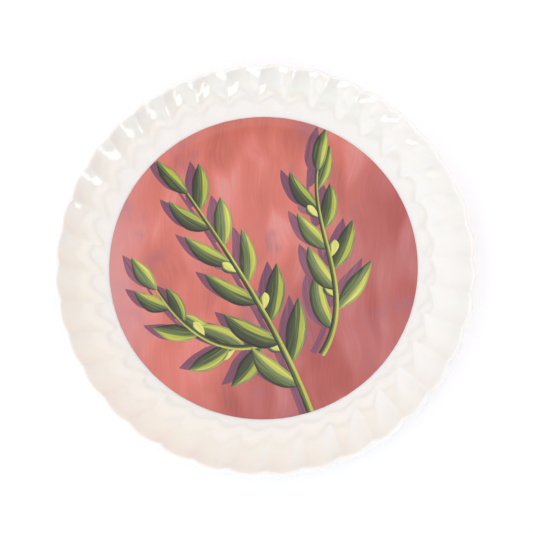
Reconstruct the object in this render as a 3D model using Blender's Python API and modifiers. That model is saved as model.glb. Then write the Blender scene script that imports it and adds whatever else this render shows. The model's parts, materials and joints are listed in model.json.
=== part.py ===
"""Fluted dinner plate: one fired piece of glazed porcelain with a scalloped rim and a foot ring.

Units are metres, +Z up. The plate's axis is the Z axis and it stands on its foot ring at z = 0.
The section is turned first, and the flutes are then pressed into its wall by one formula.
"""

import math

import bpy
import numpy as np

# Driving dimensions, in metres
RIM_RADIUS = 0.1335  # outer edge of the lip, halfway between a lobe and a notch
PLATE_HEIGHT = 0.0225  # table to the crest of the lip, halfway between a lobe and a notch
WELL_RADIUS = 0.0955  # flat floor, up to where the wall starts to rise
FLOOR_HEIGHT = 0.0064  # table to the flat floor
WALL_THICKNESS = 0.0034
FOOT_OUTER_RADIUS = 0.0842  # outer edge of the flat ring that touches the table
FOOT_WIDTH = 0.0028
FOOT_FLARE = 0.0026  # how far the foot widens on each side on its way up
RECESS_HEIGHT = 0.0022  # table to the underside within the foot ring

# Flutes
FLUTE_COUNT = 36
FLUTE_DEPTH = 0.0025  # at the lip, ridge to hollow, square to the wall
FLUTE_START = math.radians(2.0)  # turn of the wall, from level, at which the flutes begin
FLUTE_SOFTNESS = 0.1  # share of their run in which the flutes ease in; 0 starts them with a crease
FLUTE_SWEEP = math.radians(3.0)  # how far round the plate a ridge swings on its way in from the lip
RIDGE_ROUNDING = 0.06  # 0 gives a knife edge between two flutes

# Fineness of the solid
SIDES_PER_FLUTE = 6
WALL_STEPS = 7
UNDERSIDE_STEPS = 4
LIP_STEPS = 4

# Glaze
GLAZE_COLOR = (0.86, 0.84, 0.79, 1.0)
GLAZE_ROUGHNESS = 0.12

COLLECTION_NAME = "fluted_dinner_plate"
MERGE_DISTANCE = 0.00005

# The wall is an arc that leaves the floor level and ends at the lip. Its middle line has to climb
# wall_rise while it runs out by wall_run, which fixes both its turn and its radius.
HALF_WALL = WALL_THICKNESS / 2
WALL_RUN = RIM_RADIUS - HALF_WALL - WELL_RADIUS
WALL_RISE = PLATE_HEIGHT - FLOOR_HEIGHT
WALL_TURN = 2 * math.atan2(WALL_RISE, WALL_RUN)
INNER_RADIUS = WALL_RUN / math.sin(WALL_TURN) - HALF_WALL
OUTER_RADIUS = INNER_RADIUS + WALL_THICKNESS
ARC_HEIGHT = FLOOR_HEIGHT + INNER_RADIUS  # height of the arc's centre, which is over the well's edge


def clear_scene():
    """Removes whatever the file holds at the start."""
    for item in list(bpy.data.objects):
        bpy.data.objects.remove(item, do_unlink=True)


def wall_point(radius, turn):
    """The point of the section at this radius and turn about the wall's centre of curvature."""
    return (WELL_RADIUS + radius * math.sin(turn), ARC_HEIGHT - radius * math.cos(turn))


def plate_section():
    """The half section as (radius, height), from the floor's centre over the lip to the underside's."""
    inner_wall = [wall_point(INNER_RADIUS, WALL_TURN * i / WALL_STEPS) for i in range(WALL_STEPS + 1)]

    lip_radius, lip_height = wall_point(INNER_RADIUS + HALF_WALL, WALL_TURN)
    lip = []
    for i in range(1, LIP_STEPS):
        around = WALL_TURN + math.pi / 2 - math.pi * i / LIP_STEPS
        lip.append((lip_radius + HALF_WALL * math.cos(around), lip_height + HALF_WALL * math.sin(around)))

    turns = [WALL_TURN * (1 - i / UNDERSIDE_STEPS) for i in range(UNDERSIDE_STEPS + 1)]
    outer_wall = [wall_point(OUTER_RADIUS, turn) for turn in turns]

    underside_height = FLOOR_HEIGHT - WALL_THICKNESS
    foot_inner_radius = FOOT_OUTER_RADIUS - FOOT_WIDTH
    foot = [
        (FOOT_OUTER_RADIUS + FOOT_FLARE, underside_height),
        (FOOT_OUTER_RADIUS, 0.0),
        (foot_inner_radius, 0.0),
        (foot_inner_radius - FOOT_FLARE, RECESS_HEIGHT),
    ]
    return [(0.0, FLOOR_HEIGHT)] + inner_wall + lip + outer_wall + foot + [(0.0, RECESS_HEIGHT)]


def turned_mesh(name, section, steps):
    """Turns the section about the Z axis into a closed mesh."""
    outline = bpy.data.meshes.new(name + "_section")
    edges = [(i, i + 1) for i in range(len(section) - 1)]
    outline.from_pydata([(radius, 0.0, height) for radius, height in section], edges, [])
    guide = bpy.data.objects.new(name + "_section", outline)
    bpy.context.scene.collection.objects.link(guide)

    screw = guide.modifiers.new("turn", "SCREW")
    screw.axis = "Z"
    screw.angle = math.tau
    screw.steps = steps
    screw.render_steps = steps
    screw.use_merge_vertices = True
    screw.merge_threshold = MERGE_DISTANCE

    evaluated = guide.evaluated_get(bpy.context.evaluated_depsgraph_get())
    mesh = bpy.data.meshes.new_from_object(evaluated)
    mesh.name = name
    bpy.data.objects.remove(guide, do_unlink=True)
    bpy.data.meshes.remove(outline)
    return mesh


def flute_wave(angle):
    """+1 in the middle of a flute and -1 on the ridge between two: a rounded arch for each flute."""
    arch = np.abs(np.sin(angle * FLUTE_COUNT / 2))
    rounded = np.hypot(arch, RIDGE_ROUNDING) - RIDGE_ROUNDING
    full = math.hypot(1.0, RIDGE_ROUNDING) - RIDGE_ROUNDING
    return 2 * rounded / full - 1


def press_flutes(mesh):
    """Moves each point of the wall square to it, out in a flute's middle and in on a ridge.

    Both faces of the wall move alike, so it keeps its thickness. The flutes start near the well's
    edge and deepen evenly to the lip, where a ridge lies on the +X axis. Going inwards the points
    also swing round the axis, so that their columns follow the ridges' sweep.
    """
    points = np.empty(len(mesh.vertices) * 3)
    mesh.vertices.foreach_get("co", points)
    points = points.reshape(-1, 3)
    radius = np.hypot(points[:, 0], points[:, 1])
    angle = np.arctan2(points[:, 1], points[:, 0])

    turn = np.arctan2(radius - WELL_RADIUS, ARC_HEIGHT - points[:, 2])
    turn = np.clip(turn, 0.0, WALL_TURN)
    share = np.clip((turn - FLUTE_START) / (WALL_TURN - FLUTE_START), 0.0, 1.0)
    growth = share * share * (1 + FLUTE_SOFTNESS) / (share + FLUTE_SOFTNESS)
    move = FLUTE_DEPTH / 2 * growth * flute_wave(angle)
    swung = angle + FLUTE_SWEEP * (1 - share)

    radius += move * np.sin(turn)
    points[:, 0] = radius * np.cos(swung)
    points[:, 1] = radius * np.sin(swung)
    points[:, 2] -= move * np.cos(turn)
    mesh.vertices.foreach_set("co", points.ravel())
    mesh.update()


def glaze_material():
    """A clear glossy glaze over a warm white body."""
    material = bpy.data.materials.new("glazed_porcelain")
    material.use_nodes = True
    shader = material.node_tree.nodes["Principled BSDF"]
    shader.inputs["Base Color"].default_value = GLAZE_COLOR
    shader.inputs["Roughness"].default_value = GLAZE_ROUGHNESS
    shader.inputs["Metallic"].default_value = 0.0
    return material


def build_plate(collection):
    """The whole plate as one closed body."""
    mesh = turned_mesh("plate", plate_section(), FLUTE_COUNT * SIDES_PER_FLUTE)
    press_flutes(mesh)
    mesh.materials.clear()
    mesh.materials.append(glaze_material())
    mesh.shade_smooth()
    mesh.set_sharp_from_angle(angle=math.radians(40.0))
    plate = bpy.data.objects.new("plate", mesh)
    collection.objects.link(plate)
    return plate


def main():
    """Builds the plate in its own collection."""
    clear_scene()
    collection = bpy.data.collections.new(COLLECTION_NAME)
    bpy.context.scene.collection.children.link(collection)
    build_plate(collection)


main()
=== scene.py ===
"""Looks of a fluted dinner plate: glazed porcelain, with a painted print fired into its well.

Units are metres, +Z up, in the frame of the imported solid. The plate's axis is the Z axis, it
stands at z = 0, and a ridge between two flutes meets the lip on the +X axis.
"""

import json
import logging
import math
from dataclasses import dataclass, field
from enum import Enum

import bpy
import numpy as np
from mathutils import Matrix, Vector

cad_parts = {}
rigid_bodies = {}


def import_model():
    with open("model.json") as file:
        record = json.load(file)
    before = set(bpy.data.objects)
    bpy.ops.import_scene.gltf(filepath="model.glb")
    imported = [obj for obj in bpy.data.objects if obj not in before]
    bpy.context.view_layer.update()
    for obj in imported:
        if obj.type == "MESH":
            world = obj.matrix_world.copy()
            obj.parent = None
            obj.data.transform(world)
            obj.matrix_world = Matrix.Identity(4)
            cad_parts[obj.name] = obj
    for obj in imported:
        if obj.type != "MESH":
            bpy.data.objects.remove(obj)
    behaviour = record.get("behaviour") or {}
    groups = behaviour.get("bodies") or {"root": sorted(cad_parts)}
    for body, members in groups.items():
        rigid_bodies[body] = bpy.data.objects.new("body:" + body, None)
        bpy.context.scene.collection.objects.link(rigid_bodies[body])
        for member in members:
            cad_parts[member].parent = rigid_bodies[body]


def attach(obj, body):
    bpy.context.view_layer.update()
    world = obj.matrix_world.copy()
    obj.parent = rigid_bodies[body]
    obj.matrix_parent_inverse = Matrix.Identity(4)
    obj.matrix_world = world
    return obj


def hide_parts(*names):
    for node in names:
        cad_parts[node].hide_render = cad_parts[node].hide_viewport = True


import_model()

LOG = logging.getLogger("fluted_plate")
MM = 0.001
SEED = 11
SHARP_EDGE = math.radians(50.0)
SOFT_STEP = {"interpolation_type": "SMOOTHSTEP"}

MATH, VECTOR_MATH, MAP_RANGE = "ShaderNodeMath", "ShaderNodeVectorMath", "ShaderNodeMapRange"
MIX, NOISE, ATTRIBUTE = "ShaderNodeMix", "ShaderNodeTexNoise", "ShaderNodeAttribute"

Colour = tuple[float, float, float]
Pair = tuple[float, float]
Stops = tuple[tuple[float, str], ...]
Socket = bpy.types.NodeSocket


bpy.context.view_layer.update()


# Colour and node helpers


def linear(hex_colour: str) -> tuple[float, float, float, float]:
    """Turns an sRGB hex colour such as F2EEE6 into Blender's linear RGBA."""
    values = [int(hex_colour[i : i + 2], 16) / 255 for i in (0, 2, 4)]
    return (*[v / 12.92 if v <= 0.04045 else ((v + 0.055) / 1.055) ** 2.4 for v in values], 1.0)


def add_node(
    tree: bpy.types.NodeTree, kind: str, settings: dict | None = None, inputs: dict | None = None
) -> bpy.types.Node:
    """Adds one shader node.

    Args:
        tree: the node tree of a material or of the surround.
        kind: the node's type name.
        settings: the node's own attributes by name.
        inputs: input name or number to a value, or to the output socket that feeds it.

    Returns:
        The new node.
    """
    node = tree.nodes.new(kind)
    for name, value in (settings or {}).items():
        setattr(node, name, value)
    for name, value in (inputs or {}).items():
        if isinstance(value, Socket):
            tree.links.new(value, node.inputs[name])
        else:
            node.inputs[name].default_value = value
    return node


def new_material(name: str) -> tuple[bpy.types.Material, bpy.types.NodeTree, bpy.types.Node]:
    """A new material with its node tree and its one shader.

    Args:
        name: what the finish is called.

    Returns:
        The material, its node tree and its Principled shader.
    """
    made = bpy.data.materials.new(name)
    made.use_nodes = True
    return made, made.node_tree, made.node_tree.nodes["Principled BSDF"]


def set_ramp(node: bpy.types.Node, stops: Stops) -> None:
    """Gives a ColorRamp node its stops.

    Args:
        node: the ramp, with the two stops that a new one has.
        stops: position and hex colour of each stop, from left to right.
    """
    line = node.color_ramp
    for element, (position, colour) in zip(line.elements, (stops[0], stops[-1])):
        element.position, element.color = position, linear(colour)
    for position, colour in stops[1:-1]:
        line.elements.new(position).color = linear(colour)


# Meshes


def new_mesh(
    name: str, points: np.ndarray, quads: np.ndarray, triangles: np.ndarray | None = None
) -> bpy.types.Object:
    """Puts arrays of points, four-sided and three-sided faces into a new smooth mesh object.

    Args:
        name: the piece's name.
        points: (n, 3) places in metres.
        quads: (m, 4) corner numbers.
        triangles: (k, 3) corner numbers, or None.

    Returns:
        The new object, at the origin and linked into the scene.
    """
    triangles = np.zeros((0, 3), int) if triangles is None else triangles
    mesh = bpy.data.meshes.new(name)
    corners = np.concatenate([quads.ravel(), triangles.ravel()]).astype(np.int32)
    starts = np.concatenate([np.arange(len(quads)) * 4, quads.size + np.arange(len(triangles)) * 3])
    mesh.vertices.add(len(points))
    mesh.vertices.foreach_set("co", points.astype(np.float32).ravel())
    mesh.loops.add(len(corners))
    mesh.loops.foreach_set("vertex_index", corners)
    mesh.polygons.add(len(starts))
    mesh.polygons.foreach_set("loop_start", starts.astype(np.int32))
    mesh.update(calc_edges=True)
    mesh.validate()
    mesh.shade_smooth()
    piece = bpy.data.objects.new(name, mesh)
    bpy.context.scene.collection.objects.link(piece)
    return piece


def set_attribute(piece: bpy.types.Object, name: str, values: np.ndarray) -> None:
    """Stores numbers on the points of a piece's mesh, for its material to read.

    Args:
        piece: the mesh object.
        name: the attribute's name.
        values: one number or one triple of numbers for each point.
    """
    kind, key = ("FLOAT", "value") if values.ndim == 1 else ("FLOAT_VECTOR", "vector")
    made = piece.data.attributes.new(name, kind, "POINT")
    made.data.foreach_set(key, values.astype(np.float32).ravel())


def ring_quads(rows: int, columns: int) -> np.ndarray:
    """Joins a grid of points whose rows are closed rings, each corner to the next row and column.

    Args:
        rows: how many rings.
        columns: points in each ring.

    Returns:
        (n, 4) corner numbers.
    """
    i, j = np.meshgrid(np.arange(rows - 1), np.arange(columns), indexing="ij")
    k = (j + 1) % columns
    quads = [i * columns + j, (i + 1) * columns + j, (i + 1) * columns + k, i * columns + k]
    return np.stack(quads, -1).reshape(-1, 4)


def pole_fans(rows: int, columns: int) -> np.ndarray:
    """Closes the first and the last ring of such a grid, each with a fan of triangles to a pole.

    Args:
        rows: how many rings.
        columns: points in each ring.

    Returns:
        (n, 3) corner numbers, where the poles are the two points that follow the grid's own.
    """
    j = np.arange(columns)
    k = (j + 1) % columns
    count, last = rows * columns, (rows - 1) * columns
    first_fan = np.stack([np.full(columns, count), j, k], 1)
    last_fan = np.stack([np.full(columns, count + 1), last + k, last + j], 1)
    return np.concatenate([first_fan, last_fan])


@dataclass(frozen=True)
class PlateForm:
    """The plate's driving sizes, the same as the solid's, and the surface that follows from them."""

    rim_radius: float = 133.5 * MM
    height: float = 22.5 * MM
    well_radius: float = 95.5 * MM
    floor_height: float = 6.4 * MM
    wall: float = 3.4 * MM
    foot_outer: float = 84.2 * MM
    foot_width: float = 2.8 * MM
    foot_flare: float = 2.6 * MM
    recess: float = 2.2 * MM
    foot_edge: float = 0.5 * MM
    # the foot bends at this share of its flare, and at these shares of the heights on either side
    bend_flare: float = 0.35
    bend_outside: float = 0.5
    bend_inside: float = 0.55
    flutes: int = 36
    flute_depth: float = 2.5 * MM
    flute_start: float = math.radians(2.0)
    flute_softness: float = 0.1
    flute_sweep: float = math.radians(3.0)
    ridge_rounding: float = 0.06
    # how finely the surface is divided, and where its innermost rings and those by the foot stand
    floor_rings: int = 14
    wall_rings: int = 40
    lip_steps: int = 14
    back_rings: int = 20
    edge_steps: int = 5
    recess_rings: int = 8
    columns_per_flute: int = 20
    pole_ring: float = 8.0 * MM
    ring_outside_foot: float = 4.0 * MM
    ring_inside_foot: float = 3.0 * MM

    @property
    def wall_run(self) -> float:
        """How far the wall's middle reaches out from the well's edge to the lip."""
        return self.rim_radius - self.wall / 2 - self.well_radius

    @property
    def turn(self) -> float:
        """The angle that the wall's arc turns through, from level at the floor to the lip."""
        return 2 * math.atan2(self.height - self.floor_height, self.wall_run)

    @property
    def inner(self) -> float:
        """The radius of the arc that the wall's inner face follows."""
        return self.wall_run / math.sin(self.turn) - self.wall / 2

    @property
    def arc_height(self) -> float:
        """The height of that arc's centre, which stands over the well's edge."""
        return self.floor_height + self.inner

    def wall_face(self, radius: float, turns: np.ndarray) -> np.ndarray:
        """(radius, height) rows on an arc of that radius about the wall's centre, at these turns."""
        out, down = radius * np.sin(turns), radius * np.cos(turns)
        return np.stack([self.well_radius + out, self.arc_height - down], 1)

    def section(self) -> np.ndarray:
        """The half section, from near the floor's centre round to near the recess's centre.

        The wall's two faces are arcs about one centre, the lip is a half circle between them, and
        the foot is a flared rib whose two lower edges are rounded.

        Returns:
            (n, 2) rows of radius and height.
        """
        floor = np.linspace(self.pole_ring, self.well_radius, self.floor_rings, endpoint=False)
        floor = np.stack([floor, np.full_like(floor, self.floor_height)], 1)

        inner_wall = self.wall_face(self.inner, np.linspace(0, self.turn, self.wall_rings))
        half = self.wall / 2
        middle = self.wall_face(self.inner + half, np.array([self.turn]))
        around = self.turn + math.pi / 2 - np.linspace(0, math.pi, self.lip_steps)[1:-1]
        lip = middle + half * np.stack([np.cos(around), np.sin(around)], 1)
        outer_wall = self.wall_face(self.inner + self.wall, np.linspace(self.turn, 0, self.back_rings))

        underside = self.floor_height - self.wall
        foot_outer, foot_inner = self.foot_outer, self.foot_outer - self.foot_width
        flare, edge = self.foot_flare, self.foot_edge
        bends = np.linspace(0, math.pi / 2, self.edge_steps)
        outer_edge = np.stack([foot_outer - edge + edge * np.cos(bends), edge - edge * np.sin(bends)], 1)
        inner_edge = np.stack([foot_inner + edge - edge * np.sin(bends), edge - edge * np.cos(bends)], 1)
        foot = np.concatenate(
            [
                [[foot_outer + flare + self.ring_outside_foot, underside]],
                [[foot_outer + flare, underside]],
                [[foot_outer + flare * self.bend_flare, underside * self.bend_outside]],
                outer_edge,
                inner_edge,
                [[foot_inner - flare * self.bend_flare, self.recess * self.bend_inside]],
                [[foot_inner - flare, self.recess]],
            ]
        )
        recess_edge = foot_inner - flare - self.ring_inside_foot
        recess = np.linspace(recess_edge, self.pole_ring, self.recess_rings)
        recess = np.stack([recess, np.full_like(recess, self.recess)], 1)
        return np.concatenate([floor, inner_wall, lip, outer_wall, foot, recess])

    def wave(self, angle: np.ndarray) -> np.ndarray:
        """+1 in the middle of a flute, -1 on the ridge between two: a rounded arch for each flute.

        Args:
            angle: the way round the plate.

        Returns:
            The arch at each angle.
        """
        arch = np.abs(np.sin(angle * self.flutes / 2))
        full = math.hypot(1.0, self.ridge_rounding) - self.ridge_rounding
        return 2 * (np.hypot(arch, self.ridge_rounding) - self.ridge_rounding) / full - 1

    def turn_at(self, radius: np.ndarray, height: np.ndarray) -> np.ndarray:
        """How far the wall has turned at points of the section: 0 on the floor, all of it at the lip."""
        return np.clip(np.arctan2(radius - self.well_radius, self.arc_height - height), 0, self.turn)

    def share(self, turn: np.ndarray) -> np.ndarray:
        """How far along their run the flutes are at this turn of the wall, 0 to 1 at the lip."""
        return np.clip((turn - self.flute_start) / (self.turn - self.flute_start), 0, 1)

    def press(self, share: np.ndarray, angle: np.ndarray) -> np.ndarray:
        """How far the flutes move the wall square to itself: even growth, with a soft start."""
        growth = share * share * (1 + self.flute_softness) / (share + self.flute_softness)
        return self.flute_depth / 2 * growth * self.wave(angle)

    def pressed(self, radius: np.ndarray, height: np.ndarray, angle: np.ndarray) -> np.ndarray:
        """Presses the flutes into the wall of the turned section.

        Each point moves square to the wall by the flutes' press, and swings round the axis by the
        sweep times what is left of the flutes' run, so that columns of points follow the ridges.

        Args:
            radius: distance of each point from the axis.
            height: height of each point.
            angle: the way round the plate, in step with the ridges.

        Returns:
            The points' places, with x, y and z along a new last axis.
        """
        turn = self.turn_at(radius, height)
        share = self.share(turn)
        move = self.press(share, angle)
        swung = angle + self.flute_sweep * (1 - share)
        out = radius + move * np.sin(turn)
        return np.stack([out * np.cos(swung), out * np.sin(swung), height - move * np.cos(turn)], -1)

    def face_height(self, x: np.ndarray, y: np.ndarray) -> np.ndarray:
        """The height of the upper face over any place of the floor or the lower wall.

        On the wall this is the arc's height less the flutes' press, measured straight down. It
        holds as far out as half the arc's radius past the well's edge, which is beyond the print.

        Args:
            x: places across the plate.
            y: places along the plate.

        Returns:
            The heights.
        """
        turn = np.arcsin(np.clip((np.hypot(x, y) - self.well_radius) / self.inner, 0, 0.5))
        share = self.share(turn)
        move = self.press(share, np.arctan2(y, x) - self.flute_sweep * (1 - share))
        return self.arc_height - self.inner * np.cos(turn) - move / np.cos(turn)


@dataclass
class FlutedPlate:
    """The plate's porcelain body, as one closed surface turned about the Z axis."""

    form: PlateForm = field(default_factory=PlateForm)

    def build(self) -> bpy.types.Object:
        """The turned section on a grid of section step and angle, closed by a fan at each pole.

        Returns:
            The body, whose points know how far into a flute's hollow they lie, from -1 to 1.
        """
        form = self.form
        section = form.section()
        rows, columns = len(section), form.flutes * form.columns_per_flute
        angle = np.arange(columns) * (2 * math.pi / columns)
        radius, theta = np.meshgrid(section[:, 0], angle, indexing="ij")
        height = np.broadcast_to(section[:, 1:2], radius.shape)
        grid = form.pressed(radius, height, theta).reshape(-1, 3)
        poles = np.array([[0, 0, section[0, 1]], [0, 0, section[-1, 1]]])
        points = np.concatenate([grid, poles])
        piece = new_mesh("plate_body", points, ring_quads(rows, columns), pole_fans(rows, columns))
        hollow = form.press(form.share(form.turn_at(radius, height)), theta) / (form.flute_depth / 2)
        set_attribute(piece, "hollow", np.append(hollow.ravel(), [0, 0]))
        LOG.info("plate_body: %d rows by %d columns", rows, columns)
        return piece


@dataclass(frozen=True)
class PorcelainGlaze:
    """Fired porcelain under a clear glossy glaze: warm white, with a sharp weak reflection.

    The glaze ripples over some 14 mm, too little to see but for the bends in what it mirrors. Its
    white is painted a trace darker on the ridges and a trace lighter in the flutes' hollows, a painted
    shade and painted light that even out the flutes' shading, and it is wiped off the foot's rim.
    """

    # body is the glaze's white on the ridges, painted a trace darker as painted shade; the hollows'
    # white is painted a trace lighter as painted light
    body: str = "EEEAE2"
    hollow_painted_light: str = "F0ECE4"
    painted_shade_start: float = -0.6
    biscuit: str = "E4DCCB"
    biscuit_roughness: float = 0.7
    wiped_below: Pair = (0.45 * MM, 0.25 * MM)
    roughness: float = 0.025
    ior: float = 1.65
    scatter: float = 4.0 * MM
    scatter_tint: Colour = (1.0, 0.9, 0.8)
    ripple: float = 14.0 * MM
    ripple_depth: float = 0.012 * MM

    def material(self) -> bpy.types.Material:
        """The glaze, its painted shade on the ridges and painted light in the hollows, its ripple and
        the bare rim of the foot.

        Returns:
            A material with one Principled shader.
        """
        made, tree, shader = new_material("porcelain_glaze")
        place = add_node(tree, "ShaderNodeTexCoord").outputs["Object"]
        axes = add_node(tree, "ShaderNodeSeparateXYZ", inputs={0: place})
        hollow = add_node(tree, ATTRIBUTE, {"attribute_name": "hollow"}).outputs["Fac"]
        # painted shade and light: from the ridges, painted darker, to the flutes' hollows, painted
        # lighter, against their lit shading
        painted_light_share = add_node(
            tree, MAP_RANGE,
            inputs={"Value": hollow, "From Min": self.painted_shade_start, "From Max": 1.0},
        )
        glaze_with_painted_light = add_node(
            tree, MIX, {"data_type": "RGBA"},
            {0: painted_light_share.outputs["Result"], 6: linear(self.body), 7: linear(self.hollow_painted_light)},
        )
        start, end = self.wiped_below
        bare = add_node(
            tree, MAP_RANGE,
            inputs={"Value": axes.outputs["Z"], "From Min": start, "From Max": end},
        ).outputs["Result"]
        colour = add_node(
            tree, MIX, {"data_type": "RGBA"},
            {0: bare, 6: glaze_with_painted_light.outputs[2], 7: linear(self.biscuit)},
        )
        rough = add_node(
            tree, MAP_RANGE,
            inputs={"Value": bare, "To Min": self.roughness, "To Max": self.biscuit_roughness},
        )
        ripple = add_node(
            tree, NOISE, inputs={"Vector": place, "Scale": 1 / self.ripple, "Detail": 1.0}
        )
        bump = add_node(
            tree, "ShaderNodeBump",
            inputs={"Height": ripple.outputs[0], "Strength": 1.0, "Distance": self.ripple_depth},
        )
        tree.links.new(colour.outputs[2], shader.inputs["Base Color"])
        tree.links.new(rough.outputs["Result"], shader.inputs["Roughness"])
        tree.links.new(bump.outputs["Normal"], shader.inputs["Normal"])
        shader.inputs["IOR"].default_value = self.ior
        shader.inputs["Subsurface Weight"].default_value = 1.0
        shader.inputs["Subsurface Radius"].default_value = self.scatter_tint
        shader.inputs["Subsurface Scale"].default_value = self.scatter
        return made


@dataclass(frozen=True)
class BrushPaint:
    """Ceramic paint laid on in strokes, under the glaze: bristle streaks run along each stroke.

    The stops go from the stroke's shaded side to its lit side, and a stroke is lighter or darker
    as a whole by its own number. The streaks are some 25 mm long and 1 mm apart, and each stroke
    reads its own stretch of the pattern.
    """

    name: str
    stops: Stops
    sided: float = 0.3
    streaked: float = 0.9
    varied: float = 0.35
    roughness: float = 0.05
    streak_length: float = 25.0 * MM
    streak_gap: float = 1.11 * MM
    stroke_apart: float = 7.0

    def material(self) -> bpy.types.Material:
        """The paint, coloured by the strokes' own attributes.

        Returns:
            A material with one Principled shader.
        """
        made, tree, shader = new_material(self.name)
        brush = add_node(tree, ATTRIBUTE, {"attribute_name": "brush"}).outputs["Vector"]
        tone = add_node(tree, ATTRIBUTE, {"attribute_name": "tone"}).outputs["Fac"]
        side = add_node(tree, ATTRIBUTE, {"attribute_name": "side"}).outputs["Fac"]
        scale = (1 / self.streak_length, 1 / self.streak_gap, self.stroke_apart)
        spread = add_node(tree, "ShaderNodeMapping", inputs={"Vector": brush, "Scale": scale}).outputs[0]
        streak = add_node(tree, NOISE, inputs={"Vector": spread, "Scale": 1.0, "Detail": 3.0})
        level = add_node(
            tree, MATH, {"operation": "MULTIPLY_ADD"},
            {0: streak.outputs[0], 1: self.streaked, 2: 0.5 - self.streaked / 2},
        ).outputs[0]
        for number, share in ((side, self.sided), (tone, self.varied)):
            level = add_node(
                tree, MATH, {"operation": "MULTIPLY_ADD"}, {0: number, 1: share, 2: level}
            ).outputs[0]
        ramp = add_node(tree, "ShaderNodeValToRGB", inputs={0: level})
        set_ramp(ramp, self.stops)
        tree.links.new(ramp.outputs[0], shader.inputs["Base Color"])
        shader.inputs["Roughness"].default_value = self.roughness
        return made


@dataclass(frozen=True)
class GroundWash:
    """The print's ground: opaque coral paint, brushed on in soft, mostly upright dabs.

    It deepens to brick towards the lower right and pales at the left edge, and a cooler bloom
    lies over it in patches. A pair of sizes is across and along the brush.
    """

    warm: Stops = (
        (0.22, "AC5F55"), (0.36, "CA6D5B"), (0.48, "D37462"), (0.6, "D97C6D"), (0.75, "DA9488"),
    )
    brick: Stops = (
        (0.22, "9A4A41"), (0.36, "AF564A"), (0.5, "B66158"), (0.62, "BB6B63"), (0.78, "C57E78"),
    )
    bloom: str = "A4656A"
    pale: str = "D3938E"
    roughness: float = 0.05
    # the marks: a slow drift bends them, and they add up in these shares
    drift: float = 62.5 * MM
    drift_reach: float = 30.0 * MM
    dab: Pair = (12.5 * MM, 30.3 * MM)
    dab_softness: float = 0.7
    dab_share: float = 0.38
    bristle: Pair = (1.538 * MM, 22.2 * MM)
    bristle_share: float = 0.22
    cloud: float = 45.5 * MM
    cloud_share: float = 0.4
    # where the ground deepens, blooms and pales
    deeper_along: Colour = (1.0, -0.7, 0.0)
    deeper_over: Pair = (-5.0 * MM, 60.0 * MM)
    patch: float = 33.3 * MM
    patch_bristle: float = 0.35
    patch_over: Pair = (0.74, 0.95)
    bloom_most: float = 0.75
    paler_over: Pair = (-50.0 * MM, -95.0 * MM)
    pale_most: float = 0.85

    def material(self) -> bpy.types.Material:
        """The brush marks through two colour ramps, with the bloom and the pale edge laid over.

        Returns:
            A material with one Principled shader.
        """
        made, tree, shader = new_material("print_ground")
        place = add_node(tree, "ShaderNodeTexCoord").outputs["Object"]
        drift = add_node(
            tree, NOISE, inputs={"Vector": place, "Scale": 1 / self.drift, "Detail": 1.0}
        )
        bent = add_node(
            tree, VECTOR_MATH, {"operation": "MULTIPLY_ADD"},
            {0: drift.outputs[1], 1: (self.drift_reach, self.drift_reach, 0.0), 2: place},
        ).outputs[0]
        spread = [
            add_node(
                tree, "ShaderNodeMapping", inputs={"Vector": bent, "Scale": (1 / across, 1 / along, 0.0)}
            ).outputs[0]
            for across, along in (self.dab, self.bristle)
        ]
        dabs = add_node(
            tree, "ShaderNodeTexVoronoi", {"feature": "SMOOTH_F1"},
            {"Vector": spread[0], "Scale": 1.0, "Smoothness": self.dab_softness},
        )
        dab = add_node(tree, "ShaderNodeSeparateColor", inputs={0: dabs.outputs["Color"]}).outputs[0]
        bristles = add_node(
            tree, NOISE, inputs={"Vector": spread[1], "Scale": 1.0, "Detail": 4.0}
        ).outputs[0]
        clouds = add_node(
            tree, NOISE, inputs={"Vector": place, "Scale": 1 / self.cloud, "Detail": 2.0}
        ).outputs[0]
        level = 0.0
        marks = ((dab, self.dab_share), (bristles, self.bristle_share), (clouds, self.cloud_share))
        for mark, share in marks:
            level = add_node(
                tree, MATH, {"operation": "MULTIPLY_ADD"}, {0: mark, 1: share, 2: level}
            ).outputs[0]
        tones = []
        for stops in (self.warm, self.brick):
            ramp = add_node(tree, "ShaderNodeValToRGB", inputs={0: level})
            set_ramp(ramp, stops)
            tones.append(ramp.outputs[0])

        slant = add_node(
            tree, VECTOR_MATH, {"operation": "DOT_PRODUCT"}, {0: bent, 1: self.deeper_along}
        ).outputs["Value"]
        patches = add_node(
            tree, NOISE, inputs={"Vector": bent, "Scale": 1 / self.patch, "Detail": 2.0}
        )
        broken = add_node(
            tree, MATH, {"operation": "MULTIPLY_ADD"},
            {0: bristles, 1: self.patch_bristle, 2: patches.outputs[0]},
        ).outputs[0]
        across = add_node(tree, "ShaderNodeSeparateXYZ", inputs={0: bent}).outputs["X"]
        colour = tones[0]
        layers = (
            (slant, self.deeper_over, 1.0, tones[1]),
            (broken, self.patch_over, self.bloom_most, linear(self.bloom)),
            (across, self.paler_over, self.pale_most, linear(self.pale)),
        )
        for value, (start, end), most, over in layers:
            cover = add_node(
                tree, MAP_RANGE, SOFT_STEP,
                {"Value": value, "From Min": start, "From Max": end, "To Max": most},
            ).outputs["Result"]
            colour = add_node(
                tree, MIX, {"data_type": "RGBA"}, {0: cover, 6: colour, 7: over}
            ).outputs[2]
        tree.links.new(colour, shader.inputs["Base Color"])
        shader.inputs["Roughness"].default_value = self.roughness
        return made


class Paint(Enum):
    """The paints of the print's sprigs, from the lowest layer up."""

    SHADOW = "print_shadows"
    DARK = "print_dark_strokes"
    GREEN = "print_green_strokes"
    LIGHT = "print_light_strokes"


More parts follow.
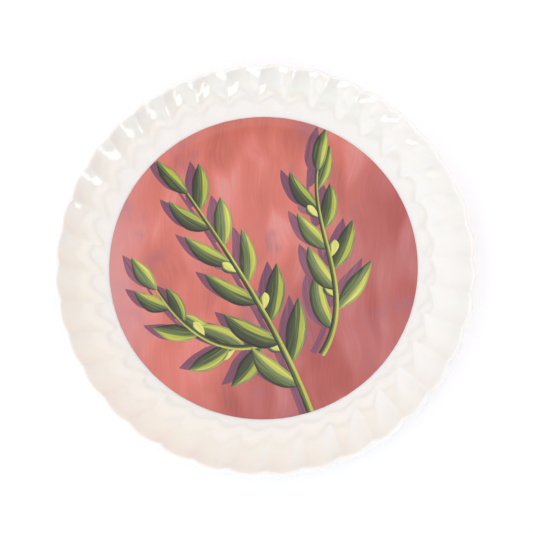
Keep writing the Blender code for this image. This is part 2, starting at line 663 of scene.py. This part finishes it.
SHADOW_STOPS = ((0.2, "6C3D4E"), (0.5, "7E4B5C"), (0.8, "966069"))
DARK_STOPS = ((0.2, "23201A"), (0.5, "37361F"), (0.85, "525A36"))
GREEN_STOPS = ((0.2, "3A4222"), (0.4, "5C6D31"), (0.6, "7B8759"), (0.85, "A6AC4C"))
LIGHT_STOPS = ((0.15, "8F9A40"), (0.5, "BBBC3E"), (0.85, "E0DA78"))

PAINTS = {
    Paint.SHADOW: BrushPaint("mauve_shadow_paint", SHADOW_STOPS, sided=0.0),
    Paint.DARK: BrushPaint("dark_olive_paint", DARK_STOPS, sided=0.1),
    Paint.GREEN: BrushPaint("leaf_green_paint", GREEN_STOPS),
    Paint.LIGHT: BrushPaint("yellow_green_paint", LIGHT_STOPS, sided=0.1),
}

# how high each paint lies over the print's ground
LAYER = {
    Paint.SHADOW: 0.004 * MM,
    Paint.DARK: 0.020 * MM,
    Paint.GREEN: 0.024 * MM,
    Paint.LIGHT: 0.028 * MM,
}


@dataclass(frozen=True)
class Strokes:
    """Brush strokes of one paint.

    Each is a centre line of the same number of points, with a half width at each of them, a
    height over the print's ground, and a number that makes the whole stroke lighter or darker.
    """

    lines: np.ndarray
    widths: np.ndarray
    heights: np.ndarray
    tones: np.ndarray

    def joined(self, other: "Strokes") -> "Strokes":
        """These strokes and the other's.

        Args:
            other: strokes of the same paint.

        Returns:
            Both sets, in that order.
        """
        pairs = zip(
            (self.lines, self.widths, self.heights, self.tones),
            (other.lines, other.widths, other.heights, other.tones),
        )
        return Strokes(*[np.concatenate(pair) for pair in pairs])


@dataclass(frozen=True)
class Sprig:
    """One leafy twig: a stem along a cubic Bezier curve, with leaves and buds on alternate sides.

    The curve's knots, the lengths and the half widths are in millimetres, and so is the level,
    which is the twig's height over another that it crosses. Leaves open out by an angle in
    degrees that falls towards the tip.
    """

    curve: tuple[Pair, ...]
    leaves: int
    leaf_length: float
    leaf_width: float
    stem_width: float
    buds: int
    level: float
    bud_length: float = 13.0
    bud_width: float = 3.2
    stalk_width: float = 0.5
    # where the leaves begin, as a share of the stem, and the buds, in gaps between leaves, and
    # how far leaves open at the foot, how much of that they lose, and the last leaf's share of it
    first_leaf: float = 0.14
    first_bud: float = 1.55
    opening: float = 52.0
    opening_lost: float = 16.0
    last_opening: float = 0.15
    # what a leaf at the tip has lost of its length and of its width, and what the stem has there
    length_lost: float = 0.28
    width_lost: float = 0.2
    stem_lost: float = 0.65
    # how leaves differ: in heading (radians), length, bend (radians), width, outline and tone
    headings: float = 0.07
    lengths: Pair = (0.92, 1.08)
    bends: Pair = (0.35, 0.75)
    widths: Pair = (0.9, 1.1)
    wobble: float = 0.06
    wobble_rate: float = 9.0
    phases: float = 6.3
    tones: float = 0.5
    bud_tone: float = 0.8

    def point(self, at: np.ndarray) -> np.ndarray:
        """Places on the stem by the Bezier formula, which weighs the knots by powers of the share.

        Args:
            at: shares of the way along, 0 to 1.

        Returns:
            (n, 2) places in metres.
        """
        knots, at = np.array(self.curve) * MM, at[:, None]
        return (
            (1 - at) ** 3 * knots[0] + 3 * (1 - at) ** 2 * at * knots[1]
            + 3 * (1 - at) * at**2 * knots[2] + at**3 * knots[3]
        )


@dataclass(frozen=True)
class LeafShapes:
    """A sprig's leaves and then its buds, with one row for each.

    A line is the leaf's centre, the widths are half its outline along the line, and the breadth
    is its half width where it is widest. The raise is its height over the sprig's level.
    """

    bud: np.ndarray
    lines: np.ndarray
    widths: np.ndarray
    breadths: np.ndarray
    wobble: np.ndarray
    tones: np.ndarray
    raises: np.ndarray


@dataclass(frozen=True)
class LeafPainting:
    """How wide a leaf's strokes are, as shares of its half width, and how far off its middle.

    The dark edge's shift and spread have a second part in metres, which is the same on any leaf.
    The ends of a leaf's light are shares of its length.
    """

    shadow: float = 0.95
    dark_shift: float = 0.1
    dark_edge: float = 0.25 * MM
    dark_spread: float = 0.35 * MM
    green: float = 0.9
    light: float = 0.28
    light_shift: float = 0.4
    light_ends: Pair = (0.08, 0.88)
    bud_light: float = 0.72
    bud_light_shift: float = 0.15


@dataclass(frozen=True)
class StemPainting:
    """The same for a stem, whose dark edge is shifted by a distance in metres."""

    dark: float = 1.15
    dark_shift: float = 0.5 * MM
    green: float = 0.9
    light: float = 0.4
    light_shift: float = 0.35


@dataclass
class WellPrint:
    """The round print on the well: a brushed ground with painted sprigs, thin layers on the glaze."""

    form: PlateForm = field(default_factory=PlateForm)
    radius: float = 100.0 * MM
    centre: Pair = (-0.8 * MM, 1.9 * MM)
    lift: float = 0.02 * MM
    sunk: float = 0.03 * MM
    # the ground's rings: how many, how they crowd to the edge, and how far in the underside goes
    columns: int = 720
    rings: int = 44
    innermost: float = 0.03
    crowding: float = 0.55
    under_rings: int = 10
    under_from: float = 0.92
    # strokes: points along and across, and the margin that they keep inside the print's edge
    line_steps: int = 30
    cross_steps: int = 5
    margin: float = 0.15 * MM
    # each stroke lies this much over the one before, a leaf over the next in turns of three,
    # a bud over the leaves, and the stem over them all
    stroke_raise: float = 0.0003 * MM
    leaf_raise: float = 0.016 * MM
    bud_raise: float = 0.008 * MM
    stem_raise: float = 0.05 * MM
    # the way that the painted light comes from, and how far it throws the shadows
    light: Pair = (0.94, -0.34)
    shadow_shift: Pair = (-6.0 * MM, 1.5 * MM)
    leaf: LeafPainting = LeafPainting()
    stem: StemPainting = StemPainting()
    sprigs: tuple[Sprig, ...] = (
        Sprig(((30, -99), (12, -45), (-20, 5), (-50, 50)), 11, 44, 6.6, 2.2, 3, 0.08),
        Sprig(((36, -58), (62, -20), (30, 24), (36, 64)), 9, 40, 6.2, 2.0, 3, 0.0),
        Sprig(((8, -46), (-18, -62), (-48, -50), (-70, -14)), 8, 36, 5.8, 1.8, 2, 0.0),
    )

    def ground(self) -> bpy.types.Object:
        """The coloured disc, a closed slab on the glaze.

        Its columns stand round the plate's axis, and each runs out to the print's own circle. The
        underside follows the wall as far in as the well's flat floor.

        Returns:
            The disc.
        """
        angle = np.arange(self.columns) * (2 * math.pi / self.columns)
        cx, cy = self.centre
        along = cx * np.cos(angle) + cy * np.sin(angle)
        edge = along + np.sqrt(along**2 + self.radius**2 - cx**2 - cy**2)
        faces = (
            (np.linspace(self.innermost, 1.0, self.rings) ** self.crowding, self.lift),
            (np.linspace(1.0, self.under_from, self.under_rings), -self.sunk),
        )
        grid = []
        for share, raised in faces:
            x, y = share[:, None] * edge * np.cos(angle), share[:, None] * edge * np.sin(angle)
            grid.append(np.stack([x, y, self.form.face_height(x, y) + raised], -1))
        grid = np.concatenate(grid)
        floor = self.form.floor_height
        poles = np.array([[0, 0, floor + self.lift], [0, 0, floor - self.sunk]])
        size = grid.shape[:2]
        points = np.concatenate([grid.reshape(-1, 3), poles])
        piece = new_mesh("print_ground", points, ring_quads(*size), pole_fans(*size))
        piece.data.set_sharp_from_angle(angle=SHARP_EDGE)
        LOG.info("print_ground: %d rings by %d columns", *size)
        return piece

    def steps(self) -> np.ndarray:
        """Places along a stroke from 0 to 1, closer together near its ends."""
        return 0.5 - 0.5 * np.cos(np.linspace(0, math.pi, self.line_steps))

    def leaf_lines(
        self, start: np.ndarray, heading: np.ndarray, length: np.ndarray, bend: np.ndarray
    ) -> np.ndarray:
        """Centre lines of leaves: arcs of a circle, by the integral of a heading that turns evenly.

        Args:
            start: (n, 2) places where the leaves leave the stem.
            heading: the way that each sets out.
            length: the length of each.
            bend: how far each turns over its length.

        Returns:
            (n, steps, 2) places.
        """
        t = self.steps()[None, :]
        head, bend, length = heading[:, None], bend[:, None], length[:, None]
        x = (np.sin(head + bend * t) - np.sin(head)) / bend
        y = (np.cos(head) - np.cos(head + bend * t)) / bend
        return start[:, None, :] + length[..., None] * np.stack([x, y], -1)

    def sides(self, lines: np.ndarray) -> tuple[np.ndarray, np.ndarray]:
        """Which way is out from each line, and which side of it the painted light falls on.

        Args:
            lines: (n, steps, 2) places.

        Returns:
            Unit vectors square to the lines, to their left, and (n, 1, 1) signs, +1 where that
            side is the lit one and -1 where it isn't.
        """
        run = np.gradient(lines, axis=1)
        run /= np.linalg.norm(run, axis=-1, keepdims=True)
        square = np.stack([-run[..., 1], run[..., 0]], -1)
        lit = np.where((square @ np.array(self.light)).mean(1) < 0, -1.0, 1.0)
        return square, lit[:, None, None]

    def leaf_shapes(self, sprig: Sprig, random: np.random.Generator) -> LeafShapes:
        """Places a sprig's leaves and buds and gives each its own shape.

        They stand at even gaps along the stem and turn out to alternate sides, but for the last
        leaf, which runs on ahead. Their outlines are arches of the sine, widest towards the foot
        of a leaf and the tip of a bud, with a slight wobble, and a bud has a stalk.

        Args:
            sprig: the twig that they grow on.
            random: where their small differences come from.

        Returns:
            Their shapes.
        """
        t = self.steps()
        leaves, buds = np.arange(sprig.leaves), np.arange(sprig.buds)
        gap = (1 - sprig.first_leaf) / (sprig.leaves - 1)
        at = sprig.first_leaf + gap * np.append(leaves, 2 * buds + sprig.first_bud)
        order = np.append(leaves, buds)
        bud = np.append(leaves < 0, buds >= 0)
        count = len(order)
        # the stem's own heading, between places just before and just after each leaf
        ahead = sprig.point(np.clip(at + 0.01, 0, 1)) - sprig.point(np.clip(at - 0.01, 0, 1))
        side = np.where(order % 2 == 0, 1.0, -1.0)
        side[sprig.leaves - 1] = sprig.last_opening
        opening = side * np.radians(sprig.opening - sprig.opening_lost * at)
        heading = np.arctan2(ahead[:, 1], ahead[:, 0]) + opening
        heading = heading + random.normal(0, sprig.headings, count)
        length = np.where(bud, sprig.bud_length, sprig.leaf_length * (1 - sprig.length_lost * at)) * MM
        length = length * random.uniform(*sprig.lengths, count)
        # a trace more to one side, so that no leaf is quite straight
        bend = -side * random.uniform(*sprig.bends, count) - 0.02
        breadth = np.where(bud, sprig.bud_width, sprig.leaf_width * (1 - sprig.width_lost * at)) * MM
        breadth = breadth * random.uniform(*sprig.widths, count)
        leaf_arch, bud_arch = np.sin(math.pi * t**0.85) ** 0.85, np.sin(math.pi * t**1.7) ** 0.8
        outline = np.where(bud[:, None], bud_arch, leaf_arch)
        stalk = bud[:, None] * sprig.stalk_width * MM * (1 - t)
        phase = random.uniform(0, sprig.phases, (count, 1))
        wobble = 1 + sprig.wobble * np.sin(sprig.wobble_rate * t + phase) * np.sin(math.pi * t)
        tones = np.where(bud, sprig.bud_tone, random.uniform(-sprig.tones, sprig.tones, count))
        return LeafShapes(
            bud=bud,
            lines=self.leaf_lines(sprig.point(at), heading, length, bend),
            widths=np.maximum(breadth[:, None] * outline, stalk) * wobble,
            breadths=breadth[:, None],
            wobble=wobble,
            tones=tones,
            raises=self.leaf_raise * (order % 3) + self.bud_raise * bud,
        )

    def leaf_strokes(self, sprig: Sprig, shapes: LeafShapes) -> dict[Paint, Strokes]:
        """Paints leaves: a shadow, a dark edge away from the light, the green, and a light towards it.

        Args:
            sprig: the twig that they grow on.
            shapes: the leaves and buds.

        Returns:
            The strokes of each paint.
        """
        leaf, t = self.leaf, self.steps()
        arch = np.sin(math.pi * t)
        lines, widths, tones = shapes.lines, shapes.widths, shapes.tones
        bud = shapes.bud[:, None]
        square, lit = self.sides(lines)
        to_light = square * lit
        height = sprig.level * MM + shapes.raises
        dark_lines = lines - to_light * (leaf.dark_shift * widths + leaf.dark_edge * arch)[..., None]
        light_shift = np.where(bud, leaf.bud_light_shift, leaf.light_shift) * widths
        light_lines = lines + to_light * light_shift[..., None]
        # the light on a leaf is a narrow stroke that stops short of both its ends
        start, end = leaf.light_ends
        short = np.sin(math.pi * np.clip((t - start) / (end - start), 0, 1))
        narrow = leaf.light * shapes.breadths * short * shapes.wobble
        light_widths = np.where(bud, leaf.bud_light * widths, narrow)
        shadow, dark_widths = lines + np.array(self.shadow_shift), widths + leaf.dark_spread * arch
        flat = np.full(len(tones), LAYER[Paint.SHADOW])
        return {
            Paint.SHADOW: Strokes(shadow, widths * leaf.shadow, flat, tones),
            Paint.DARK: Strokes(dark_lines, dark_widths, LAYER[Paint.DARK] + height, tones),
            Paint.GREEN: Strokes(lines, widths * leaf.green, LAYER[Paint.GREEN] + height, tones),
            Paint.LIGHT: Strokes(light_lines, light_widths, LAYER[Paint.LIGHT] + height, tones),
        }

    def stem_strokes(self, sprig: Sprig) -> dict[Paint, Strokes]:
        """Paints the stem in the same way as the leaves, over them, and thinner towards its tip.

        Args:
            sprig: the twig.

        Returns:
            The one stroke of each paint.
        """
        t = self.steps()
        stem = sprig.point(t)[None]
        width = sprig.stem_width * MM * (1 - sprig.stem_lost * t)[None]
        square, lit = self.sides(stem)
        to_light = square * lit
        even = np.zeros(1)
        height = even + sprig.level * MM + self.stem_raise
        paint = self.stem
        shadow, dark = stem + np.array(self.shadow_shift), stem - to_light * paint.dark_shift
        light = stem + to_light * (width * paint.light_shift)[..., None]
        return {
            Paint.SHADOW: Strokes(shadow, width, LAYER[Paint.SHADOW] + even, even),
            Paint.DARK: Strokes(dark, width * paint.dark, LAYER[Paint.DARK] + height, even),
            Paint.GREEN: Strokes(stem, width * paint.green, LAYER[Paint.GREEN] + height, even),
            Paint.LIGHT: Strokes(light, width * paint.light, LAYER[Paint.LIGHT] + height, even),
        }

    def slabs(self, paint: Paint, strokes: Strokes) -> bpy.types.Object:
        """Turns strokes into thin closed slabs that follow the plate's upper face.

        A stroke's grid runs along its line and across its width, once on top and once beneath,
        where it is sunk in the body. Places past the print's circle are drawn in to it. Each stroke
        lies a little higher than the one before, so that no two tops coincide.

        Args:
            paint: the paint, whose value is the piece's name.
            strokes: all its strokes.

        Returns:
            The piece, whose points know their place in the stroke, its lit side and its tone.
        """
        count, n = strokes.widths.shape
        m = self.cross_steps
        across = np.linspace(-1, 1, m)
        square, lit = self.sides(strokes.lines)
        out = strokes.widths[..., None] * across
        places = strokes.lines[:, :, None] + square[:, :, None] * out[..., None]
        offset = places - np.array(self.centre)
        far = np.maximum(np.linalg.norm(offset, axis=-1, keepdims=True), 1e-9)
        places = np.array(self.centre) + offset * np.minimum(1, (self.radius - self.margin) / far)
        face = self.form.face_height(places[..., 0], places[..., 1])
        heights = self.lift + strokes.heights + self.stroke_raise * np.arange(count)
        top, under = face + heights[:, None, None], face - self.sunk
        grid = np.stack([np.concatenate([places, z[..., None]], -1) for z in (top, under)], 1)
        size = n * m
        i, j = np.meshgrid(np.arange(n - 1), np.arange(m - 1), indexing="ij")
        first = (i * m + j).ravel()
        upper = np.stack([first, first + m, first + m + 1, first + 1], 1)
        lower = upper[:, ::-1] + size
        border = np.concatenate(
            [
                np.arange(m), np.arange(1, n) * m + m - 1,
                (n - 1) * m + np.arange(m - 2, -1, -1), np.arange(n - 2, 0, -1) * m,
            ]
        )
        following = np.roll(border, -1)
        rims = np.stack([border, following, following + size, border + size], 1)
        faces = np.concatenate([upper, lower, rims])
        faces = (faces[None] + (np.arange(count) * 2 * size)[:, None, None]).reshape(-1, 4)
        piece = new_mesh(paint.value, grid.reshape(-1, 3), faces[:, ::-1])
        piece.data.set_sharp_from_angle(angle=SHARP_EDGE)

        step = np.diff(strokes.lines, axis=1, prepend=strokes.lines[:, :1])
        run = np.cumsum(np.linalg.norm(step, axis=-1), 1)[..., None]
        number = np.arange(count, dtype=float)[:, None, None]
        brush = np.stack(np.broadcast_arrays(run, out, number), -1)
        side = np.broadcast_to(lit * across, (count, n, m))
        set_attribute(piece, "brush", np.stack([brush, brush], 1).reshape(-1, 3))
        set_attribute(piece, "side", np.stack([side, side], 1).ravel())
        set_attribute(piece, "tone", np.broadcast_to(strokes.tones[:, None], (count, 2 * size)).ravel())
        LOG.info("%s: %d strokes", paint.value, count)
        return piece

    def build(self) -> list[bpy.types.Object]:
        """The ground and the sprigs, each in its paint.

        Returns:
            The print's pieces, from the lowest layer up.
        """
        ground = self.ground()
        ground.data.materials.append(GroundWash().material())
        pieces = [ground]
        random = np.random.default_rng(SEED)
        parts = []
        for sprig in self.sprigs:
            shapes = self.leaf_shapes(sprig, random)
            parts += [self.leaf_strokes(sprig, shapes), self.stem_strokes(sprig)]
        for paint in Paint:
            strokes = parts[0][paint]
            for part in parts[1:]:
                strokes = strokes.joined(part[paint])
            piece = self.slabs(paint, strokes)
            piece.data.materials.append(PAINTS[paint].material())
            pieces.append(piece)
        return pieces


@dataclass(frozen=True)
class ViewCamera:
    """A camera at the photograph's angle, with the rim's centre at its place in the frame.

    The centre is in pixels from the frame's left and top, and the lens and sensor in millimetres.
    """

    distance: float = 0.66
    tilt: float = math.radians(11.84)
    turn: float = math.radians(5.0)
    roll: float = math.radians(-0.79)
    lens: float = 70.24
    sensor: float = 36.0
    rim_height: float = 21.0 * MM
    centre: Pair = (263.85, 262.0)
    frame_px: float = 533.0

    def build(self) -> bpy.types.Object:
        """Stands the camera off along a line that leans by the tilt and turns about the plate's axis.

        Returns:
            The scene's camera.
        """
        data = bpy.data.cameras.new("camera")
        data.lens = self.lens
        data.sensor_width = self.sensor
        data.sensor_fit = "HORIZONTAL"
        data.clip_start = 0.01
        half = self.frame_px / 2
        data.shift_x = -(self.centre[0] - half) / self.frame_px
        data.shift_y = (self.centre[1] - half) / self.frame_px
        camera = bpy.data.objects.new("camera", data)
        bpy.context.scene.collection.objects.link(camera)
        level = math.sin(self.tilt)
        away = Vector((level * math.sin(self.turn), -level * math.cos(self.turn), math.cos(self.tilt)))
        right = Vector((0.0, 1.0, 0.0)).cross(away).normalized()
        axes = Matrix((right, away.cross(right), away)).transposed() @ Matrix.Rotation(self.roll, 3, "Z")
        camera.rotation_euler = axes.to_euler()
        camera.location = Vector((0.0, 0.0, self.rim_height)) + away * self.distance
        bpy.context.scene.camera = camera
        return camera


@dataclass(frozen=True)
class StudioFloor:
    """A pale matt floor with a little light of its own, so that it stays white round the plate."""

    half: float = 12.0
    shade: float = 0.9
    roughness: float = 0.9
    glow: float = 0.14

    def build(self) -> bpy.types.Object:
        """One square under the plate, which belongs to the stage.

        Returns:
            The floor.
        """
        half = self.half
        points = np.array([[-half, -half, 0], [half, -half, 0], [half, half, 0], [-half, half, 0]])
        piece = new_mesh("floor", points, np.array([[0, 1, 2, 3]]))
        made, _, shader = new_material("studio_floor")
        shader.inputs["Base Color"].default_value = (self.shade, self.shade, self.shade, 1.0)
        shader.inputs["Roughness"].default_value = self.roughness
        shader.inputs["Specular IOR Level"].default_value = 0.0
        shader.inputs["Emission Color"].default_value = (1.0, 1.0, 1.0, 1.0)
        shader.inputs["Emission Strength"].default_value = self.glow
        piece.data.materials.append(made)
        return piece


@dataclass(frozen=True)
class Seam:
    """A dark seam of the light tent, in the plane one unit overhead.

    It has a centre, half sizes and a power in the sense of outline_share: power 2 is an oval, and
    less than that draws its corners in.
    """

    centre: Pair
    half: Pair
    power: float
    width: float


@dataclass(frozen=True)
class Window:
    """A bright opening of the tent, by its direction, angular half sizes and roll in degrees."""

    azimuth: float
    zenith: float
    half_sizes: Pair
    roll: float
    radiance: float

    def axes(self) -> tuple[Vector, Vector, Vector]:
        """Where the window faces, from its azimuth, its angle off the zenith and its roll.

        Returns:
            Unit vectors along the window's width, along its height and to its middle.
        """
        azimuth, zenith, roll = (math.radians(v) for v in (self.azimuth, self.zenith, self.roll))
        across = math.sin(zenith)
        away = Vector((across * math.cos(azimuth), across * math.sin(azimuth), math.cos(zenith)))
        level = Vector((-math.sin(azimuth), math.cos(azimuth), 0.0))
        climb = away.cross(level)
        return (
            level * math.cos(roll) + climb * math.sin(roll),
            climb * math.cos(roll) - level * math.sin(roll),
            away,
        )


def outline_share(
    tree: bpy.types.NodeTree,
    place: Socket,
    centre: Pair,
    half: Pair,
    power: float,
) -> Socket:
    """How far out a place is, as a share of the way to an outline round a centre.

    The two offsets from the centre, as shares of the half sizes, are raised to the power and
    added, and the sum is raised to one over the power. It is 1 on the outline and less inside.

    Args:
        tree: the surround's node tree.
        place: the place as a vector, whose third part isn't read.
        centre: the outline's centre.
        half: the outline's half sizes.
        power: 2 for an oval, more for a rectangle with rounded corners.

    Returns:
        The share.
    """
    offset = add_node(tree, VECTOR_MATH, {"operation": "SUBTRACT"}, {0: place, 1: (*centre, 0.0)})
    share = add_node(tree, VECTOR_MATH, {"operation": "DIVIDE"}, {0: offset.outputs[0], 1: (*half, 1.0)})
    size = add_node(tree, VECTOR_MATH, {"operation": "ABSOLUTE"}, {0: share.outputs[0]})
    axes = add_node(tree, "ShaderNodeSeparateXYZ", inputs={0: size.outputs[0]})
    raised = [
        add_node(tree, MATH, {"operation": "POWER"}, {0: axes.outputs[n], 1: power}).outputs[0]
        for n in (0, 1)
    ]
    total = add_node(tree, MATH, {"operation": "ADD"}, {0: raised[0], 1: raised[1]})
    return add_node(tree, MATH, {"operation": "POWER"}, {0: total.outputs[0], 1: 1 / power}).outputs[0]


def clear_of_line(tree: bpy.types.NodeTree, value: Socket, middle: float, width: float) -> Socket:
    """How clear of a dark line a value is: 0 in the line's middle, and softly up to 1 at its width.

    Args:
        tree: the surround's node tree.
        value: the value.
        middle: where the line's middle lies.
        width: how far the line reaches to either side.

    Returns:
        The share of light that is left.
    """
    off = add_node(tree, MATH, {"operation": "SUBTRACT"}, {0: value, 1: middle}).outputs[0]
    off = add_node(tree, MATH, {"operation": "ABSOLUTE"}, {0: off}).outputs[0]
    return add_node(tree, MAP_RANGE, SOFT_STEP, {"Value": off, "From Max": width}).outputs["Result"]


def product(tree: bpy.types.NodeTree, factors: list[Socket]) -> Socket:
    """All the factors multiplied together.

    Args:
        tree: the surround's node tree.
        factors: two numbers or more.

    Returns:
        Their product.
    """
    total = factors[0]
    for factor in factors[1:]:
        total = add_node(tree, MATH, {"operation": "MULTIPLY"}, {0: total, 1: factor}).outputs[0]
    return total


@dataclass(frozen=True)
class LightTent:
    """The soft tent round the plate, as a surround: an inner panel, a ring round it and the walls.

    A direction is carried to the plane one unit overhead. There the left wall starts at a
    straight edge, and two seams part the panel, the ring and the far walls. The walls' colours
    grow with height by a second colour, and the far ones also towards the back by a third. The
    windows are laid over that, each in a dark frame, and under the floor the tent is dim.
    """

    inner: Colour = (1.18, 1.11, 1.36)
    ring: Colour = (1.47, 1.34, 1.28)
    far: Colour = (0.0, 0.10, 0.60)
    far_high: Colour = (0.90, 1.26, 0.46)
    far_back: Colour = (0.75, 0.32, 0.0)
    left: Colour = (0.74, 0.84, 0.85)
    left_high: Colour = (0.84, 0.83, 1.14)
    left_edge: float = -0.43
    left_seam: float = 0.07
    left_blend: float = 0.05
    seams: tuple[Seam, Seam] = (
        Seam((0.05, -0.03), (0.51, 0.42), 2.0, 0.24),
        Seam((0.35, 0.14), (1.03, 1.0), 1.5, 0.16),
    )
    lowest: float = 0.02
    under_floor: float = 0.15
    under_blend: float = 0.05
    windows: tuple[Window, ...] = (
        Window(-53.0, 51.0, (9.5, 7.5), -20.0, 4.0),
        Window(-43.0, 65.0, (5.0, 7.0), -25.0, 3.2),
        Window(-114.0, 68.0, (15.0, 4.5), 0.0, 4.2),
        Window(-148.0, 60.0, (12.0, 9.0), 0.0, 1.2),
    )
    # a window's corners, the soft edge of its pane and of its frame, as shares of its size
    window_power: float = 5.0
    pane_edge: Pair = (1.15, 0.85)
    frame_edge: Pair = (1.2, 1.6)
    frame_dark: float = 0.6
    beside: float = 0.1

    def walls(self, tree: bpy.types.NodeTree, way: Socket) -> tuple[Socket, Socket]:
        """The tent without its windows.

        Args:
            tree: the surround's node tree.
            way: the direction.

        Returns:
            The colour, and how far the seams and the floor leave it undimmed.
        """
        axes = add_node(tree, "ShaderNodeSeparateXYZ", inputs={0: way})
        back, height = axes.outputs[1], axes.outputs[2]
        up = add_node(tree, MATH, {"operation": "MAXIMUM"}, {0: height, 1: self.lowest}).outputs[0]
        plane = add_node(tree, VECTOR_MATH, {"operation": "DIVIDE"}, {0: way, 1: up}).outputs[0]
        across = add_node(tree, "ShaderNodeSeparateXYZ", inputs={0: plane}).outputs[0]

        within, lines = [], []
        for seam in self.seams:
            out = outline_share(tree, plane, seam.centre, seam.half, seam.power)
            span = {"Value": out, "From Min": 1.0 + seam.width / 2, "From Max": 1.0 - seam.width / 2}
            within.append(add_node(tree, MAP_RANGE, SOFT_STEP, span).outputs["Result"])
            lines.append(clear_of_line(tree, out, 1.0, seam.width))
        start, end = self.left_edge + self.left_blend, self.left_edge - self.left_blend
        span = {"Value": across, "From Min": start, "From Max": end}
        in_left = add_node(tree, MAP_RANGE, SOFT_STEP, span).outputs["Result"]
        # the two seams stop at the left wall, which has its own along the edge
        seams = add_node(tree, MIX, inputs={0: in_left, 2: product(tree, lines), 3: 1.0}).outputs[0]
        left_seam = clear_of_line(tree, across, self.left_edge, self.left_seam)
        start, end = -self.under_blend, 0.0
        span = {"Value": height, "From Min": start, "From Max": end, "To Min": self.under_floor}
        above = add_node(tree, MAP_RANGE, SOFT_STEP, span).outputs["Result"]
        clear = product(tree, [seams, left_seam, above])

        grown = {"operation": "MULTIPLY_ADD"}
        back = add_node(tree, MAP_RANGE, inputs={"Value": back, "From Min": -1.0}).outputs["Result"]
        far = add_node(tree, VECTOR_MATH, grown, {0: up, 1: self.far_high, 2: self.far}).outputs[0]
        far = add_node(tree, VECTOR_MATH, grown, {0: back, 1: self.far_back, 2: far}).outputs[0]
        left = add_node(tree, VECTOR_MATH, grown, {0: up, 1: self.left_high, 2: self.left}).outputs[0]
        blend = {"data_type": "VECTOR"}
        roof = add_node(tree, MIX, blend, {0: within[0], 4: self.ring, 5: self.inner}).outputs[1]
        colour = add_node(tree, MIX, blend, {0: within[1], 4: far, 5: roof}).outputs[1]
        colour = add_node(tree, MIX, blend, {0: in_left, 4: colour, 5: left}).outputs[1]
        return colour, clear

    def build(self) -> None:
        """Makes the surround: the walls where they aren't dimmed, and the windows over them."""
        world = bpy.data.worlds.new("studio")
        bpy.context.scene.world = world
        world.use_nodes = True
        tree = world.node_tree
        back = tree.nodes["Background"]
        way = add_node(tree, "ShaderNodeTexCoord").outputs["Generated"]
        tent, clear = self.walls(tree, way)
        glow = (0.0, 0.0, 0.0)
        for window in self.windows:
            parts = [
                add_node(tree, VECTOR_MATH, {"operation": "DOT_PRODUCT"}, {0: way, 1: axis}).outputs[1]
                for axis in window.axes()
            ]
            ahead = {0: parts[2], 1: self.beside}
            ahead = add_node(tree, MATH, {"operation": "MAXIMUM"}, ahead).outputs[0]
            place = add_node(tree, "ShaderNodeCombineXYZ", inputs={0: parts[0], 1: parts[1]}).outputs[0]
            place = add_node(tree, VECTOR_MATH, {"operation": "DIVIDE"}, {0: place, 1: ahead}).outputs[0]
            half = tuple(math.tan(math.radians(size)) for size in window.half_sizes)
            out = outline_share(tree, place, (0.0, 0.0), half, self.window_power)
            start, end = self.pane_edge
            span = {"Value": out, "From Min": start, "From Max": end}
            pane = add_node(tree, MAP_RANGE, SOFT_STEP, span).outputs["Result"]
            start, end = self.frame_edge
            span = {"Value": out, "From Min": start, "From Max": end, "To Min": 1.0 - self.frame_dark}
            beyond = add_node(tree, MAP_RANGE, SOFT_STEP, span).outputs["Result"]
            clear = product(tree, [clear, beyond])
            lit = {0: pane, 1: (window.radiance,) * 3, 2: glow}
            glow = add_node(tree, VECTOR_MATH, {"operation": "MULTIPLY_ADD"}, lit).outputs[0]
        light = add_node(tree, VECTOR_MATH, {"operation": "MULTIPLY_ADD"}, {0: tent, 1: clear, 2: glow})
        tree.links.new(light.outputs[0], back.inputs["Color"])
        back.inputs["Strength"].default_value = 1.0


def main() -> None:
    """Builds the plate and its print, then the studio."""
    logging.basicConfig(level=logging.INFO)
    form = PlateForm()
    body = FlutedPlate(form).build()
    body.data.materials.append(PorcelainGlaze().material())
    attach(body, "root")
    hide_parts("plate")
    for piece in WellPrint(form).build():
        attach(piece, "root")
    ViewCamera().build()
    StudioFloor().build()
    LightTent().build()
    bpy.context.scene.view_settings.view_transform = "Standard"


if __name__ == "__main__":
    main()
